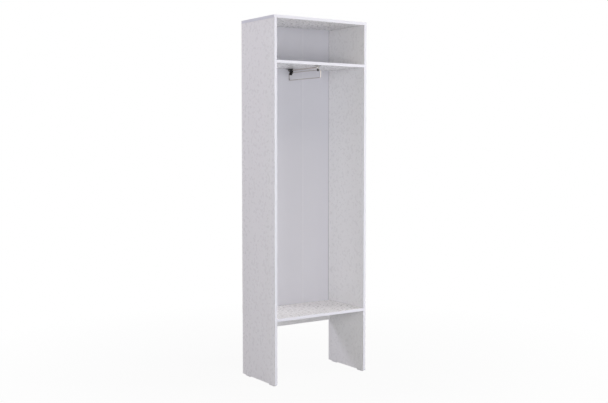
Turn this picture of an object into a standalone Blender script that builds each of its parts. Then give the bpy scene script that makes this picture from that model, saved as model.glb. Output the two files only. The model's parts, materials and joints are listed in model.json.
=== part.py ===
"""An open hall wardrobe of white laminated board: a hat shelf on top, a tall coat bay with a pull-out hanger
rail across the depth, a bench shelf to sit on, and an open space for shoes under it.

Units are metres. +Z is up, the front faces -Y, +X is to the right of someone who looks at the front, and the
origin lies on the floor in the middle of the footprint.
"""

import math

import bmesh
import bpy
from mathutils import Matrix, Vector

# Whole wardrobe
WIDTH = 0.620
HEIGHT = 2.000
CARCASS_DEPTH = 0.340
BOARD = 0.016
FIT = 0.0003
OVERRUN = 0.002
WELD = 0.000005

# Plastic bands glued to the edges that show
BAND = 0.001
BAND_RADIUS = 0.0006

# Heights of the boards
BENCH_TOP = 0.369
HAT_BAY_HEIGHT = 0.222
STRETCHER_HEIGHT = 0.100

# Back of thin hardboard sheets and the plastic strips that join them
SHEET = 0.003
SHEET_INSET = 0.0015
STRIP_WIDTH = 0.012
STRIP_FLANGE = 0.0007
STRIP_WEB = 0.0012

# Glides under the side panels
GLIDE_LENGTH = 0.050
GLIDE_HEIGHT = 0.005
GLIDE_SIDE_INSET = 0.001
GLIDE_CORNER = 0.003
GLIDE_CHAMFER = 0.0008
GLIDE_FRONT_INSET = 0.012
GLIDE_REAR_INSET = 0.028
SPIGOT_RADIUS = 0.002
SPIGOT_TIP_RADIUS = 0.0014
SPIGOT_LENGTH = 0.009
SPIGOT_SPREAD = 0.030

# Cam housings and the bolts that they pull
JOINT_FRONT_INSET = 0.037
JOINT_REAR_INSET = 0.037
CAM_DISTANCE = 0.034
CAM_RADIUS = 0.0073
CAM_ROOF = 0.0032
CAM_POCKET_SPARE = 0.0017
RECESS_ARM = 0.0052
RECESS_WIDTH = 0.0012
CAM_RECESS_DEPTH = 0.0016
BOLT_THREAD_RADIUS = 0.0030
BOLT_THREAD_LENGTH = 0.0105
BOLT_TIP_RADIUS = 0.0018
BOLT_TIP_LENGTH = 0.0015
BOLT_COLLAR_RADIUS = 0.0036
BOLT_COLLAR_LENGTH = 0.0018
BOLT_SHANK_RADIUS = 0.0028
BOLT_NECK_RADIUS = 0.0022
BOLT_HEAD_RADIUS = 0.0033
BOLT_HEAD_LENGTH = 0.0045

# Fastening of the stretcher: one bolt above one wooden dowel at each end
STRETCHER_BOLT_INSET = 0.032
STRETCHER_DOWEL_INSET = 0.032
DOWEL_RADIUS = 0.0040
DOWEL_IN_STRETCHER = 0.019
DOWEL_IN_SIDE = 0.011
DOWEL_CHAMFER = 0.0008

# Screws down through the top panel into the side panels
TOP_SCREW_LENGTH = 0.050
TOP_SCREW_HEAD_RADIUS = 0.0050
TOP_SCREW_RIM = 0.0008
TOP_SCREW_CONE = 0.0018
TOP_SCREW_SHANK_RADIUS = 0.0034
TOP_SCREW_THREAD_RADIUS = 0.0031
TOP_SCREW_TIP_RADIUS = 0.0015
TOP_SCREW_TIP_LENGTH = 0.004
SOCKET_RADIUS = 0.0023
SOCKET_DEPTH = 0.0022

# Brackets of the hanger rail, bent from steel strip
FLANGE_WIDTH = 0.036
FLANGE_LENGTH = 0.014
FLANGE_CORNER = 0.003
BRACKET = 0.0015
WEB_WIDTH = 0.015
FRONT_BRACKET_INSET = 0.038
REAR_BRACKET_SPARE = 0.002
SCREW_SPREAD = 0.025
SCREW_HEAD_RADIUS = 0.0033
SCREW_HEAD_HEIGHT = 0.0020
SCREW_SHOULDER_SHARE = 0.7
SCREW_RADIUS = 0.0016
SCREW_LENGTH = 0.012
SCREW_TIP_LENGTH = 0.003
SCREW_RECESS_ARM = 0.0034
SCREW_RECESS_WIDTH = 0.0008
SCREW_RECESS_DEPTH = 0.0009

# Guide bar between the brackets
GUIDE_RADIUS = 0.0040
GUIDE_DROP = 0.010
RIVET_RADIUS = 0.0025
RIVET_HEAD_RADIUS = 0.0037
RIVET_HEAD_HEIGHT = 0.0010

# Wire loop that carries the coat hangers
WIRE_RADIUS = 0.00225
LOOP_TOP_DROP = 0.024
LOOP_BOTTOM_DROP = 0.0667
LOOP_CORNER = 0.008
LOOP_FRONT_INSET = 0.012
LOOP_REAR_INSET = 0.0135

# Bush in the front bracket
BUSH_FLANGE_RADIUS = 0.0065
BUSH_FLANGE = 0.0024
BUSH_NECK_RADIUS = 0.0044
BUSH_CHAMFER = 0.0006

# Slider block that runs on the guide bar
BLOCK_LENGTH = 0.020
BLOCK_WIDTH = 0.013
BLOCK_TOP_GAP = 0.002
BLOCK_FRONT_DROP = 0.029
BLOCK_REAR_DROP = 0.038
BLOCK_CORNER = 0.0022
BLOCK_CHAMFER = 0.0005
BLOCK_TO_WIRE = 0.0225

# Fineness of round shapes
FASTENER_SIDES = 12
CAM_SIDES = 20
GUIDE_SIDES = 16
SOCKET_SIDES = 6
CORNER_STEPS = 3
SMOOTH_ANGLE = math.radians(40)

# Finishes: colour, roughness, metallic
LAMINATE = ((0.80, 0.79, 0.81), 0.45, 0.0)
EDGE_BAND = ((0.90, 0.90, 0.94), 0.40, 0.0)
HARDBOARD = ((0.74, 0.74, 0.77), 0.60, 0.0)
WHITE_PLASTIC = ((0.84, 0.84, 0.87), 0.40, 0.0)
BLACK_PLASTIC = ((0.015, 0.015, 0.018), 0.45, 0.0)
CHROME = ((0.62, 0.60, 0.58), 0.18, 1.0)
ZINC = ((0.60, 0.60, 0.62), 0.35, 1.0)
BEECH = ((0.62, 0.45, 0.28), 0.70, 0.0)

# Planes and lines that the sizes above set
FRONT = -(CARCASS_DEPTH + FIT + SHEET + FIT + STRIP_FLANGE) / 2
BOARD_FRONT = FRONT + BAND + FIT
BOARD_REAR = FRONT + CARCASS_DEPTH
SHEET_FRONT = BOARD_REAR + FIT
SHEET_REAR = SHEET_FRONT + SHEET
OUTER = WIDTH / 2
INNER = OUTER - BOARD
SHELF_END = INNER - FIT
SIDE_BOTTOM = GLIDE_HEIGHT + FIT
TOP_UNDERSIDE = HEIGHT - BOARD
SIDE_TOP = TOP_UNDERSIDE - FIT
HAT_TOP = TOP_UNDERSIDE - HAT_BAY_HEIGHT
HAT_UNDERSIDE = HAT_TOP - BOARD
BENCH_UNDERSIDE = BENCH_TOP - BOARD
STRETCHER_TOP = BENCH_UNDERSIDE - FIT
STRETCHER_BOTTOM = STRETCHER_TOP - STRETCHER_HEIGHT
STRETCHER_MIDDLE = BOARD_REAR - BOARD / 2
JOINT_ROWS = (("front", FRONT + JOINT_FRONT_INSET), ("rear", BOARD_REAR - JOINT_REAR_INSET))
SIDES = (("left", -1), ("right", 1))

for old in list(bpy.data.objects):
    bpy.data.objects.remove(old, do_unlink=True)

WARDROBE = bpy.data.collections.new("open_hall_wardrobe")
CUTTERS = bpy.data.collections.new("cutters")
bpy.context.scene.collection.children.link(WARDROBE)
bpy.context.scene.collection.children.link(CUTTERS)


# Helpers: objects, finishes and placing


def new_object(name, data, collection=WARDROBE):
    obj = bpy.data.objects.new(name, data)
    collection.objects.link(obj)
    return obj


def finish(obj, look):
    """Gives the object a material of its own."""
    colour, roughness, metallic = look
    material = bpy.data.materials.new(obj.name)
    material.use_nodes = True
    shader = material.node_tree.nodes["Principled BSDF"]
    shader.inputs["Base Color"].default_value = (*colour, 1)
    shader.inputs["Roughness"].default_value = roughness
    shader.inputs["Metallic"].default_value = metallic
    obj.data.materials.clear()
    obj.data.materials.append(material)
    return obj


def smooth(mesh):
    mesh.shade_smooth()
    mesh.set_sharp_from_angle(angle=SMOOTH_ANGLE)


def axes_turn(x_axis, z_axis):
    """The rotation that brings the local X and Z axes onto these two directions, square to each other."""
    x_axis, z_axis = Vector(x_axis), Vector(z_axis)
    return Matrix((x_axis, z_axis.cross(x_axis), z_axis)).transposed()


def place(obj, location, x_axis=(1, 0, 0), z_axis=(0, 0, 1)):
    obj.location = location
    obj.rotation_euler = axes_turn(x_axis, z_axis).to_euler()
    return obj


def carried_out(obj):
    """The object as a mesh, with its modifiers and its curve carried out. The object itself is removed."""
    bpy.context.view_layer.update()
    graph = bpy.context.evaluated_depsgraph_get()
    mesh = bpy.data.meshes.new_from_object(obj.evaluated_get(graph))
    bpy.data.objects.remove(obj)
    return mesh


# Helpers: shapes


def box_mesh(name, size):
    mesh = bpy.data.meshes.new(name)
    shape = bmesh.new()
    bmesh.ops.create_cube(shape, size=1)
    bmesh.ops.scale(shape, vec=size, verts=shape.verts)
    shape.to_mesh(mesh)
    shape.free()
    return mesh


def box(name, low, high, collection=WARDROBE):
    """A box between its lowest and highest corners, with its origin in the middle."""
    low, high = Vector(low), Vector(high)
    return place(new_object(name, box_mesh(name, high - low), collection), (low + high) / 2)


def add_rod(shape, start, end, radius, end_radius=None, sides=FASTENER_SIDES):
    """Adds a round rod, or a cone where the end has a radius of its own, to a bmesh."""
    start, end = Vector(start), Vector(end)
    turn = (end - start).to_track_quat("Z", "Y").to_matrix().to_4x4()
    bmesh.ops.create_cone(
        shape,
        cap_ends=True,
        segments=sides,
        radius1=radius,
        radius2=radius if end_radius is None else end_radius,
        depth=(end - start).length,
        matrix=Matrix.Translation((start + end) / 2) @ turn,
    )


def rods(name, lines, radius, end_radius=None, sides=FASTENER_SIDES, collection=CUTTERS):
    """Equal rods that don't touch each other, as one object."""
    shape = bmesh.new()
    for start, end in lines:
        add_rod(shape, start, end, radius, end_radius, sides)
    mesh = bpy.data.meshes.new(name)
    shape.to_mesh(mesh)
    shape.free()
    return new_object(name, mesh, collection)


def hide(cutter):
    cutter.hide_render = True
    cutter.display_type = "WIRE"
    return cutter


def boolean(obj, other, operation="DIFFERENCE", solver="EXACT"):
    modifier = obj.modifiers.new(f"{operation.lower()} {other.name}", "BOOLEAN")
    modifier.operation = operation
    modifier.solver = solver
    modifier.object = hide(other)
    return obj


def filleted(corners, steps=CORNER_STEPS):
    """The points of an outline whose corners (x, y, radius) are rounded by arcs."""
    points = []
    for i, (x, y, radius) in enumerate(corners):
        corner = Vector((x, y))
        before = (Vector(corners[i - 1][:2]) - corner).normalized()
        after = (Vector(corners[(i + 1) % len(corners)][:2]) - corner).normalized()
        if not radius:
            points.append(corner)
            continue
        half = before.angle(after) / 2
        centre = corner + (before + after).normalized() * radius / math.sin(half)
        first = corner + before * radius / math.tan(half) - centre
        last = corner + after * radius / math.tan(half) - centre
        sweep = first.angle_signed(last)
        for step in range(steps + 1):
            turn = Matrix.Rotation(-sweep * step / steps, 2)
            points.append(centre + turn @ first)
    return points


def rectangle(width, length, radius=0):
    return [(x * width / 2, y * length / 2, radius) for x, y in ((-1, -1), (1, -1), (1, 1), (-1, 1))]


def plate_mesh(name, outline, thickness):
    """A flat outline in the local XY plane, thickened to both sides of it, with its caps welded on."""
    curve = bpy.data.curves.new(name, "CURVE")
    curve.dimensions = "2D"
    curve.fill_mode = "BOTH"
    curve.extrude = thickness / 2
    spline = curve.splines.new("POLY")
    spline.points.add(len(outline) - 1)
    for point, (x, y) in zip(spline.points, outline):
        point.co = (x, y, 0, 1)
    spline.use_cyclic_u = True
    mesh = carried_out(new_object(name, curve, CUTTERS))
    bpy.data.curves.remove(curve)
    shape = bmesh.new()
    shape.from_mesh(mesh)
    bmesh.ops.remove_doubles(shape, verts=shape.verts, dist=WELD)
    bmesh.ops.recalc_face_normals(shape, faces=shape.faces)
    shape.to_mesh(mesh)
    shape.free()
    return mesh


def plate(name, outline, thickness, collection=WARDROBE):
    return new_object(name, plate_mesh(name, outline, thickness), collection)


def turned(name, profile, sides=FASTENER_SIDES, closed=False, collection=WARDROBE):
    """A shape turned round the local Z axis. Its points (radius, height) run down the outer side."""
    mesh = bpy.data.meshes.new(name)
    edges = [(i, i + 1) for i in range(len(profile) - 1)]
    if closed:
        edges.append((len(profile) - 1, 0))
    mesh.from_pydata([(radius, 0, height) for radius, height in profile], edges, [])
    obj = new_object(name, mesh, collection)
    screw = obj.modifiers.new("turn", "SCREW")
    screw.axis = "Z"
    screw.steps = sides
    screw.render_steps = sides
    screw.use_merge_vertices = True
    screw.merge_threshold = WELD
    return obj


def chamfer(obj, width):
    bevel = obj.modifiers.new("chamfer", "BEVEL")
    bevel.width = width
    bevel.segments = 1
    bevel.limit_method = "ANGLE"
    bevel.angle_limit = SMOOTH_ANGLE
    return obj


def plus_outline(arm, width):
    """The outline of a cross recess: arm is its whole span and width the thickness of its wings."""
    long, short = arm / 2, width / 2
    quarter = [Vector((long, -short)), Vector((long, short)), Vector((short, short))]
    turns = [Matrix.Rotation(math.radians(90) * turn, 2) for turn in range(4)]
    return [turn @ point for turn in turns for point in quarter]


# Boards


def joint_lines(height, start, length):
    """Lines along X at both ends of a shelf, from the distance start off the middle inwards by length."""
    return [
        ((side * start, y, height), (side * (start - length), y, height))
        for _, side in SIDES
        for _, y in JOINT_ROWS
    ]


def stretcher_line(side, height, start, length):
    return ((side * start, STRETCHER_MIDDLE, height), (side * (start - length), STRETCHER_MIDDLE, height))


STRETCHER_BOLT_Z = STRETCHER_TOP - STRETCHER_BOLT_INSET
STRETCHER_DOWEL_Z = STRETCHER_BOTTOM + STRETCHER_DOWEL_INSET
CAM_X = SHELF_END - CAM_DISTANCE
CAM_HOLE_DEPTH = BOARD - CAM_ROOF
SHELF_BORE = BOLT_COLLAR_RADIUS + FIT
DOWEL_BORE = DOWEL_RADIUS + FIT
THREAD_BORE = BOLT_THREAD_RADIUS + FIT
THREAD_BORE_DEPTH = BOLT_THREAD_LENGTH + FIT
GLIDE_ROWS = (
    ("front", FRONT + GLIDE_FRONT_INSET + GLIDE_LENGTH / 2),
    ("rear", BOARD_REAR - GLIDE_REAR_INSET - GLIDE_LENGTH / 2),
)
SIDE_MIDDLE = OUTER - BOARD / 2


def side_panel(name, side):
    edges = sorted((side * INNER, side * OUTER))
    panel = box(name, (edges[0], BOARD_FRONT, SIDE_BOTTOM), (edges[1], BOARD_REAR, SIDE_TOP))
    bolt_heights = (HAT_UNDERSIDE + BOARD / 2, BENCH_UNDERSIDE + BOARD / 2)
    bolt_holes = [
        ((side * (INNER - OVERRUN), y, z), (side * (INNER + THREAD_BORE_DEPTH), y, z))
        for z in bolt_heights
        for _, y in JOINT_ROWS
    ]
    reach = -(THREAD_BORE_DEPTH + OVERRUN)
    bolt_holes.append(stretcher_line(side, STRETCHER_BOLT_Z, INNER - OVERRUN, reach))
    boolean(panel, rods(f"{name} bolt holes", bolt_holes, THREAD_BORE))
    reach = -(DOWEL_IN_SIDE + FIT + OVERRUN)
    dowel_hole = stretcher_line(side, STRETCHER_DOWEL_Z, INNER - OVERRUN, reach)
    boolean(panel, rods(f"{name} dowel hole", [dowel_hole], DOWEL_BORE))
    screw_depth = TOP_SCREW_LENGTH - BOARD + FIT
    screw_holes = [
        ((side * SIDE_MIDDLE, y, SIDE_TOP + OVERRUN), (side * SIDE_MIDDLE, y, SIDE_TOP - screw_depth))
        for _, y in JOINT_ROWS
    ]
    boolean(panel, rods(f"{name} screw holes", screw_holes, TOP_SCREW_THREAD_RADIUS + FIT))
    spigot_top = GLIDE_HEIGHT + SPIGOT_LENGTH + FIT
    spigot_holes = [
        ((side * SIDE_MIDDLE, y + end * SPIGOT_SPREAD / 2, SIDE_BOTTOM - OVERRUN),
         (side * SIDE_MIDDLE, y + end * SPIGOT_SPREAD / 2, spigot_top))
        for _, y in GLIDE_ROWS
        for end in (-1, 1)
    ]
    boolean(panel, rods(f"{name} glide holes", spigot_holes, SPIGOT_RADIUS + FIT))
    finish(panel, LAMINATE)


def top_panel():
    end = OUTER - BAND - FIT
    panel = box("top_panel", (-end, BOARD_FRONT, TOP_UNDERSIDE), (end, BOARD_REAR, HEIGHT))
    places = [(side * SIDE_MIDDLE, y) for _, side in SIDES for _, y in JOINT_ROWS]
    through = [((x, y, TOP_UNDERSIDE - OVERRUN), (x, y, HEIGHT + OVERRUN)) for x, y in places]
    boolean(panel, rods("top panel screw holes", through, TOP_SCREW_SHANK_RADIUS + FIT))
    cone_foot = HEIGHT - TOP_SCREW_RIM - TOP_SCREW_CONE - FIT
    sinks = [((x, y, cone_foot), (x, y, HEIGHT - TOP_SCREW_RIM)) for x, y in places]
    narrow, wide = TOP_SCREW_SHANK_RADIUS + FIT, TOP_SCREW_HEAD_RADIUS + FIT
    boolean(panel, rods("top panel countersinks", sinks, narrow, wide))
    rims = [((x, y, HEIGHT - TOP_SCREW_RIM - FIT), (x, y, HEIGHT + OVERRUN)) for x, y in places]
    boolean(panel, rods("top panel rims", rims, wide))
    finish(panel, LAMINATE)


def shelf(name, underside):
    """A shelf between the side panels, with cam holes in its underside and bolt bores in its ends."""
    low, high = (-SHELF_END, BOARD_FRONT, underside), (SHELF_END, BOARD_REAR, underside + BOARD)
    panel = box(name, low, high)
    bores = joint_lines(underside + BOARD / 2, SHELF_END + OVERRUN, CAM_DISTANCE + OVERRUN)
    boolean(panel, rods(f"{name} bores", bores, SHELF_BORE))
    cam_holes = [
        ((side * CAM_X, y, underside - OVERRUN), (side * CAM_X, y, underside + CAM_HOLE_DEPTH))
        for _, side in SIDES
        for _, y in JOINT_ROWS
    ]
    boolean(panel, rods(f"{name} cam holes", cam_holes, CAM_RADIUS + FIT, sides=CAM_SIDES))
    return finish(panel, LAMINATE)


def rear_stretcher():
    low = (-SHELF_END, BOARD_REAR - BOARD, STRETCHER_BOTTOM + BAND + FIT)
    panel = box("rear_stretcher", low, (SHELF_END, BOARD_REAR, STRETCHER_TOP))
    for height, depth, radius, use in (
        (STRETCHER_BOLT_Z, CAM_DISTANCE, SHELF_BORE, "bolt"),
        (STRETCHER_DOWEL_Z, DOWEL_IN_STRETCHER + FIT, DOWEL_BORE, "dowel"),
    ):
        bores = [stretcher_line(side, height, SHELF_END + OVERRUN, depth + OVERRUN) for _, side in SIDES]
        boolean(panel, rods(f"stretcher {use} bores", bores, radius))
    cam_holes = [
        ((side * CAM_X, BOARD_REAR + OVERRUN, STRETCHER_BOLT_Z),
         (side * CAM_X, BOARD_REAR - CAM_HOLE_DEPTH, STRETCHER_BOLT_Z))
        for _, side in SIDES
    ]
    boolean(panel, rods("stretcher cam holes", cam_holes, CAM_RADIUS + FIT, sides=CAM_SIDES))
    finish(panel, LAMINATE)


for side_name, side_sign in SIDES:
    side_panel(f"{side_name}_side_panel", side_sign)
top_panel()
hat_shelf = shelf("hat_shelf", HAT_UNDERSIDE)
shelf("bench_shelf", BENCH_UNDERSIDE)
rear_stretcher()


# Edge bands


def band(name, foot, along, outward, length):
    """A band that starts at the middle of its foot, runs along one direction and faces outward."""
    corners = [
        (-BOARD / 2, 0, 0),
        (BOARD / 2, 0, 0),
        (BOARD / 2, BAND, BAND_RADIUS),
        (-BOARD / 2, BAND, BAND_RADIUS),
    ]
    piece = plate(name, filleted(corners), length)
    along, outward = Vector(along), Vector(outward)
    place(piece, Vector(foot) + along * length / 2, outward.cross(along), along)
    smooth(piece.data)
    finish(piece, EDGE_BAND)


RIGHTWARD, BACKWARD, UPWARD = (1, 0, 0), (0, 1, 0), (0, 0, 1)
FORWARD, DOWNWARD = (0, -1, 0), (0, 0, -1)
BAND_BACK = FRONT + BAND
TOP_MIDDLE = TOP_UNDERSIDE + BOARD / 2
SHELF_LENGTH = 2 * SHELF_END

for side_name, side_sign in SIDES:
    band_foot = (side_sign * SIDE_MIDDLE, BAND_BACK, SIDE_BOTTOM)
    band(f"{side_name}_side_front_band", band_foot, UPWARD, FORWARD, SIDE_TOP - SIDE_BOTTOM)
    band_foot = (side_sign * (OUTER - BAND), BOARD_FRONT, TOP_MIDDLE)
    facing = (side_sign, 0, 0)
    band(f"top_{side_name}_band", band_foot, BACKWARD, facing, BOARD_REAR - BOARD_FRONT)
band("top_front_band", (-OUTER, BAND_BACK, TOP_MIDDLE), RIGHTWARD, FORWARD, WIDTH)
for shelf_name, shelf_underside in (("hat_shelf", HAT_UNDERSIDE), ("bench_shelf", BENCH_UNDERSIDE)):
    band_foot = (-SHELF_END, BAND_BACK, shelf_underside + BOARD / 2)
    band(f"{shelf_name}_front_band", band_foot, RIGHTWARD, FORWARD, SHELF_LENGTH)
band_foot = (-SHELF_END, STRETCHER_MIDDLE, STRETCHER_BOTTOM + BAND)
band("stretcher_bottom_band", band_foot, RIGHTWARD, DOWNWARD, SHELF_LENGTH)


# Back: three equal sheets on the rear edges, with a joining strip between each two

BACK_WIDTH = WIDTH - 2 * SHEET_INSET
BACK_TOP = HEIGHT - SHEET_INSET
SHEET_SPACE = STRIP_WEB + 2 * FIT
SHEET_WIDTH = (BACK_WIDTH - 2 * SHEET_SPACE) / 3
STRIP_X = (SHEET_WIDTH + SHEET_SPACE) / 2
STRIP_FRONT = SHEET_FRONT - FIT - STRIP_FLANGE
STRIP_REAR = SHEET_REAR + FIT + STRIP_FLANGE


def back_sheet(name, middle):
    low = (middle - SHEET_WIDTH / 2, SHEET_FRONT, BENCH_UNDERSIDE)
    high = (middle + SHEET_WIDTH / 2, SHEET_REAR, BACK_TOP)
    finish(box(name, low, high), HARDBOARD)


def joint_strip(name, x):
    """An H-shaped strip. Its front flange is cut away where a board's rear edge stands against the back."""
    wide, thin = STRIP_WIDTH / 2, STRIP_WEB / 2
    front_step, rear_step = STRIP_FRONT + STRIP_FLANGE, STRIP_REAR - STRIP_FLANGE
    right_half = [
        (wide, STRIP_FRONT),
        (wide, front_step),
        (thin, front_step),
        (thin, rear_step),
        (wide, rear_step),
        (wide, STRIP_REAR),
    ]
    left_half = [(-across, y) for across, y in reversed(right_half)]
    strip = plate(name, right_half + left_half, BACK_TOP - BENCH_UNDERSIDE)
    place(strip, (x, 0, (BACK_TOP + BENCH_UNDERSIDE) / 2))
    for board_name, underside in (
        ("bench", BENCH_UNDERSIDE),
        ("hat shelf", HAT_UNDERSIDE),
        ("top", TOP_UNDERSIDE),
    ):
        low = (x - STRIP_WIDTH, STRIP_FRONT - OVERRUN, underside - FIT)
        high = (x + STRIP_WIDTH, SHEET_FRONT, underside + BOARD + FIT)
        notch = box(f"{name} {board_name} notch", low, high, CUTTERS)
        boolean(strip, notch, solver="MANIFOLD")
    finish(strip, WHITE_PLASTIC)


back_sheet("back_sheet_left", -2 * STRIP_X)
back_sheet("back_sheet_middle", 0)
back_sheet("back_sheet_right", 2 * STRIP_X)
for side_name, side_sign in SIDES:
    joint_strip(f"back_joint_strip_{side_name}", side_sign * STRIP_X)


# Glides


def glide_mesh():
    """A plastic foot that nails up into the panel's bottom edge with two moulded pins."""
    outline = filleted(rectangle(BOARD - 2 * GLIDE_SIDE_INSET, GLIDE_LENGTH, GLIDE_CORNER))
    foot = chamfer(plate("glide", outline, GLIDE_HEIGHT), GLIDE_CHAMFER)
    top = GLIDE_HEIGHT / 2
    pins = [
        ((0, end * SPIGOT_SPREAD / 2, 0), (0, end * SPIGOT_SPREAD / 2, top + SPIGOT_LENGTH))
        for end in (-1, 1)
    ]
    pin_cones = rods("glide pins", pins, SPIGOT_RADIUS, SPIGOT_TIP_RADIUS)
    mesh = carried_out(boolean(foot, pin_cones, "UNION"))
    smooth(mesh)
    return mesh


GLIDE_MESH = glide_mesh()
for side_name, side_sign in SIDES:
    for row, glide_y in GLIDE_ROWS:
        glide = new_object(f"glide_{row}_{side_name}", GLIDE_MESH.copy())
        finish(place(glide, (side_sign * SIDE_MIDDLE, glide_y, GLIDE_HEIGHT / 2)), WHITE_PLASTIC)


# Cams, bolts, dowels and screws

HEAD_END = CAM_DISTANCE + FIT + BOLT_HEAD_LENGTH / 2
HEAD_START = HEAD_END - BOLT_HEAD_LENGTH
NECK_START = FIT + CAM_DISTANCE - CAM_RADIUS - 2 * FIT


def bolt_mesh():
    """Local Z runs along the bolt, from the side panel's inner face into the shelf."""
    profile = [
        (0, HEAD_END),
        (BOLT_HEAD_RADIUS, HEAD_END),
        (BOLT_HEAD_RADIUS, HEAD_START),
        (BOLT_NECK_RADIUS, HEAD_START),
        (BOLT_NECK_RADIUS, NECK_START),
        (BOLT_SHANK_RADIUS, NECK_START),
        (BOLT_SHANK_RADIUS, FIT + BOLT_COLLAR_LENGTH),
        (BOLT_COLLAR_RADIUS, FIT + BOLT_COLLAR_LENGTH),
        (BOLT_COLLAR_RADIUS, FIT),
        (BOLT_THREAD_RADIUS, FIT),
        (BOLT_THREAD_RADIUS, BOLT_TIP_LENGTH - BOLT_THREAD_LENGTH),
        (BOLT_TIP_RADIUS, -BOLT_THREAD_LENGTH),
        (0, -BOLT_THREAD_LENGTH),
    ]
    mesh = carried_out(turned("bolt", profile))
    smooth(mesh)
    return mesh


def cam_mesh():
    """Local Z runs from the face that shows into the board, and the slot for the bolt's neck opens at +X."""
    height = CAM_HOLE_DEPTH - FIT
    body = rods("cam", [((0, 0, 0), (0, 0, height))], CAM_RADIUS, sides=CAM_SIDES, collection=WARDROBE)
    axis, above = BOARD / 2, height + OVERRUN
    floor = axis - BOLT_HEAD_RADIUS - FIT
    pocket_radius = BOLT_HEAD_RADIUS + CAM_POCKET_SPARE
    pocket = rods("cam pocket", [((0, 0, floor), (0, 0, above))], pocket_radius, sides=CAM_SIDES)
    neck = BOLT_NECK_RADIUS + FIT
    slot_low, slot_high = (0, -neck, axis - neck), (CAM_RADIUS + OVERRUN, neck, above)
    boolean(body, pocket)
    boolean(body, box("cam slot", slot_low, slot_high, CUTTERS))
    recess = plate("cam recess", plus_outline(RECESS_ARM, RECESS_WIDTH), 2 * CAM_RECESS_DEPTH, CUTTERS)
    mesh = carried_out(boolean(body, recess))
    smooth(mesh)
    return mesh


def dowel_mesh():
    top, rim = (DOWEL_IN_STRETCHER + FIT + DOWEL_IN_SIDE) / 2, DOWEL_RADIUS - DOWEL_CHAMFER
    half = [(0, top), (rim, top), (DOWEL_RADIUS, top - DOWEL_CHAMFER)]
    mesh = carried_out(turned("dowel", half + [(radius, -height) for radius, height in reversed(half)]))
    smooth(mesh)
    return mesh


def top_screw_mesh():
    """Local Z points up out of the head, whose top is flush with the panel."""
    cone_foot = -TOP_SCREW_RIM - TOP_SCREW_CONE
    profile = [
        (0, 0),
        (TOP_SCREW_HEAD_RADIUS, 0),
        (TOP_SCREW_HEAD_RADIUS, -TOP_SCREW_RIM),
        (TOP_SCREW_SHANK_RADIUS, cone_foot),
        (TOP_SCREW_SHANK_RADIUS, -BOARD),
        (TOP_SCREW_THREAD_RADIUS, -BOARD),
        (TOP_SCREW_THREAD_RADIUS, TOP_SCREW_TIP_LENGTH - TOP_SCREW_LENGTH),
        (TOP_SCREW_TIP_RADIUS, -TOP_SCREW_LENGTH),
        (0, -TOP_SCREW_LENGTH),
    ]
    screw = turned("top screw", profile)
    line = ((0, 0, -SOCKET_DEPTH), (0, 0, OVERRUN))
    socket = rods("hexagon socket", [line], SOCKET_RADIUS, sides=SOCKET_SIDES)
    mesh = carried_out(boolean(screw, socket))
    smooth(mesh)
    return mesh


BOLT_MESH, CAM_MESH, DOWEL_MESH, TOP_SCREW_MESH = bolt_mesh(), cam_mesh(), dowel_mesh(), top_screw_mesh()


def fastener(name, mesh, look, location, x_axis, z_axis):
    return finish(place(new_object(name, mesh.copy()), location, x_axis, z_axis), look)


def cam_joint(label, place_name, side, y, bolt_z, cam_face, cam_inward):
    """A bolt from the side panel, and the cam that holds its head. cam_face is (y, z) on the cam's face."""
    inward = (-side, 0, 0)
    bolt_at = (side * INNER, y, bolt_z)
    fastener(f"{label}_bolt_{place_name}", BOLT_MESH, ZINC, bolt_at, cam_inward, inward)
    cam_at = (side * CAM_X, *cam_face)
    fastener(f"{label}_cam_{place_name}", CAM_MESH, ZINC, cam_at, (side, 0, 0), cam_inward)


for side_name, side_sign in SIDES:
    for row, joint_y in JOINT_ROWS:
        for shelf_name, underside_z in (("hat_shelf", HAT_UNDERSIDE), ("bench", BENCH_UNDERSIDE)):
            axis_z, face = underside_z + BOARD / 2, (joint_y, underside_z)
            cam_joint(shelf_name, f"{row}_{side_name}", side_sign, joint_y, axis_z, face, UPWARD)
        screw_at = (side_sign * SIDE_MIDDLE, joint_y, HEIGHT)
        fastener(f"top_screw_{row}_{side_name}", TOP_SCREW_MESH, ZINC, screw_at, RIGHTWARD, UPWARD)
    face = (BOARD_REAR, STRETCHER_BOLT_Z)
    cam_joint("stretcher", side_name, side_sign, STRETCHER_MIDDLE, STRETCHER_BOLT_Z, face, FORWARD)
    dowel_x = INNER + DOWEL_IN_SIDE - (DOWEL_IN_STRETCHER + FIT + DOWEL_IN_SIDE) / 2
    dowel_at = (side_sign * dowel_x, STRETCHER_MIDDLE, STRETCHER_DOWEL_Z)
    fastener(f"stretcher_dowel_{side_name}", DOWEL_MESH, BEECH, dowel_at, UPWARD, RIGHTWARD)


# Hanger rail: what is fixed under the hat shelf

RAIL_X = 0
FLANGE_TOP = HAT_UNDERSIDE - FIT
GUIDE_Z = HAT_UNDERSIDE - GUIDE_DROP
WIRE_Z = HAT_UNDERSIDE - LOOP_TOP_DROP
FRONT_WEB = FRONT + FRONT_BRACKET_INSET
REAR_WEB = BOARD_REAR - REAR_BRACKET_SPARE - FLANGE_LENGTH


def screw_row(web_y):
    """The middle of the bracket's flange behind its web."""
    return web_y + (FLANGE_LENGTH + BRACKET) / 2


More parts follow.
